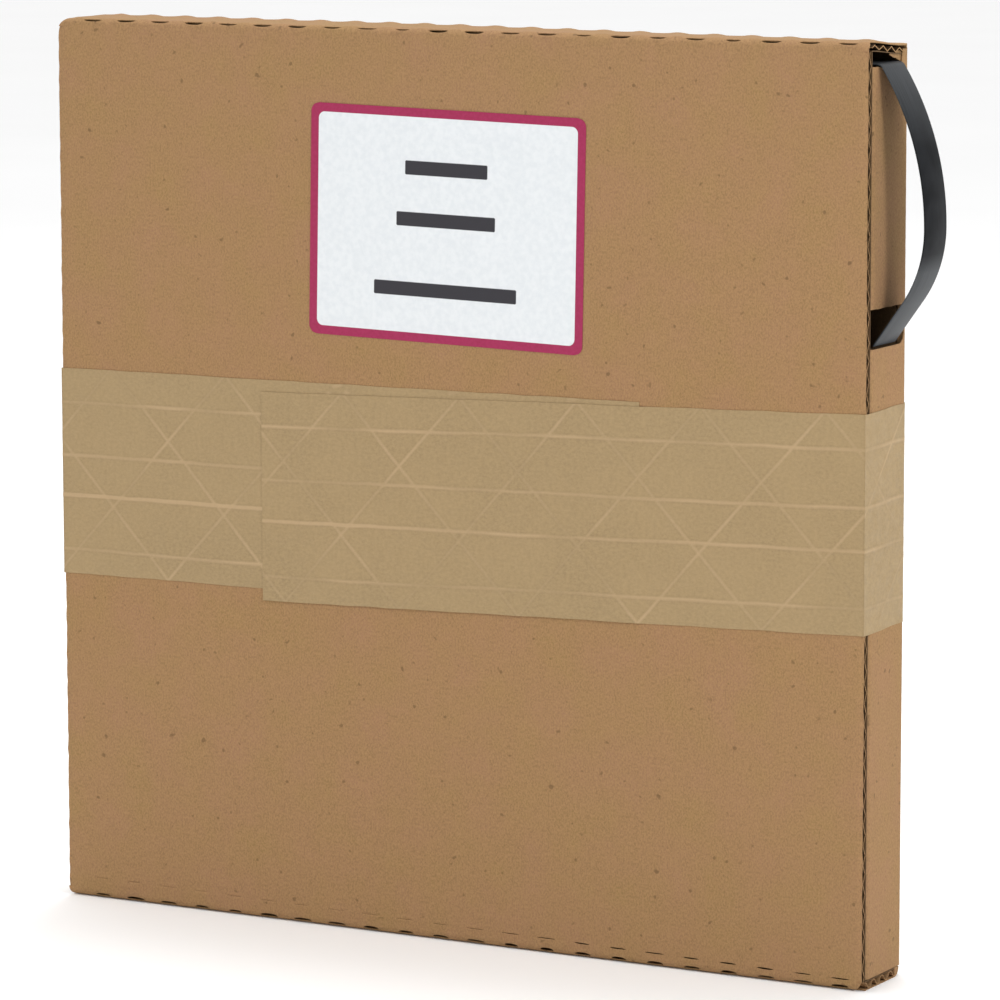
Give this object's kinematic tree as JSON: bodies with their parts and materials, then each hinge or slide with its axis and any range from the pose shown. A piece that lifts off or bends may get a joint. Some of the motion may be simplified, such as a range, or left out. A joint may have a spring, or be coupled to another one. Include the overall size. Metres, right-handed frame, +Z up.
{
  "type": "boxed steel strapping coil",
  "caption": "Ribbon-wound coil of steel strapping in a flat self-dispensing corrugated carton, its end bowed out of a slot and tucked back in.",
  "frame": {"origin": "centre of the carton's footprint, on the floor it stands on", "axes": "+X towards the dispensing side where the strap comes out, +Y towards the carton's back, +Z up; the label is on the -Y face"},
  "size_m": [0.3167, 0.0316, 0.3],
  "materials": {
    "kraft_liner": "matt brown kraft paper",
    "fluting": "matt brown fluting paper",
    "folded_board": "matt crushed corrugated board",
    "reinforced_tape": "satin kraft tape over a crossed yarn mesh",
    "label_paper": "semi-gloss white paper with a crimson border",
    "strap_steel": "black waxed strapping, satin"
  },
  "bodies": {
    "carton": {"back_inner_liner": "kraft_liner", "back_medium": "fluting", "back_outer_liner": "kraft_liner", "bottom_back_fold": "folded_board", "bottom_front_fold": "folded_board", "bottom_inner_liner": "kraft_liner", "bottom_medium": "fluting", "bottom_outer_liner": "kraft_liner", "exit_torn_tongue": "kraft_liner", "front_inner_liner": "kraft_liner", "front_medium": "fluting", "front_outer_liner": "kraft_liner", "glue_flap_inner_liner": "kraft_liner", "glue_flap_medium": "fluting", "glue_flap_outer_liner": "kraft_liner", "label": "label_paper", "left_back_fold": "folded_board", "left_front_fold": "folded_board", "left_side_inner_liner": "kraft_liner", "left_side_medium": "fluting", "left_side_outer_liner": "kraft_liner", "left_tuck_flap_inner_liner": "kraft_liner", "left_tuck_flap_medium": "fluting", "left_tuck_flap_outer_liner": "kraft_liner", "right_back_fold": "folded_board", "right_front_fold": "folded_board", "right_side_lower_inner_liner": "kraft_liner", "right_side_lower_medium": "fluting", "right_side_lower_outer_liner": "kraft_liner", "right_side_upper_inner_liner": "kraft_liner", "right_side_upper_medium": "fluting", "right_side_upper_outer_liner": "kraft_liner", "right_tuck_flap_inner_liner": "kraft_liner", "right_tuck_flap_medium": "fluting", "right_tuck_flap_outer_liner": "kraft_liner", "tape_back": "reinforced_tape", "tape_end": "reinforced_tape", "tape_left": "reinforced_tape", "tape_right": "reinforced_tape", "tape_start": "reinforced_tape", "top_back_fold": "folded_board", "top_front_fold": "folded_board", "top_inner_liner": "kraft_liner", "top_medium": "fluting", "top_outer_liner": "kraft_liner"},
    "coil": {"strap_coil": "strap_steel"},
    "lead": {"strap_lead": "strap_steel"},
    "bow_upper": {"strap_bow_upper": "strap_steel"},
    "bow_middle": {"strap_bow_middle": "strap_steel"},
    "bow_lower": {"strap_bow_lower": "strap_steel"},
    "tail": {"strap_tail": "strap_steel"}
  },
  "joints": [
    {"name": "coil_spin", "type": "hinge", "parent": "carton", "child": "coil", "pos_m": [0, 0, 0.14785], "axis": [0, 1, 0], "range_deg": [0, 48]},
    {"name": "strap_feed", "type": "slide", "parent": "carton", "child": "lead", "axis": [1, 0, 0], "range_m": [0, 0.1212]},
    {"name": "exit_bend", "type": "hinge", "parent": "lead", "child": "bow_upper", "pos_m": [0.15149, 0, 0.29198], "axis": [0, -1, 0], "range_deg": [0, 18], "stiffness_Nm_per_rad": 0.3},
    {"name": "upper_bend", "type": "hinge", "parent": "bow_upper", "child": "bow_middle", "pos_m": [0.16257, 0, 0.26793], "axis": [0, -1, 0], "range_deg": [0, 18]},
    {"name": "middle_bend", "type": "hinge", "parent": "bow_middle", "child": "bow_lower", "pos_m": [0.16637, 0, 0.24173], "axis": [0, -1, 0], "range_deg": [0, 18]},
    {"name": "lower_bend", "type": "hinge", "parent": "bow_lower", "child": "tail", "pos_m": [0.15869, 0, 0.21807], "axis": [0, -1, 0], "range_deg": [0, 18]}
  ],
  "couplings": [
    {"joint": "strap_feed", "follows": "coil_spin", "m_per_rad": 0.1445},
    {"joint": "upper_bend", "follows": "exit_bend", "ratio": 1},
    {"joint": "middle_bend", "follows": "exit_bend", "ratio": 1},
    {"joint": "lower_bend", "follows": "exit_bend", "ratio": 1}
  ]
}
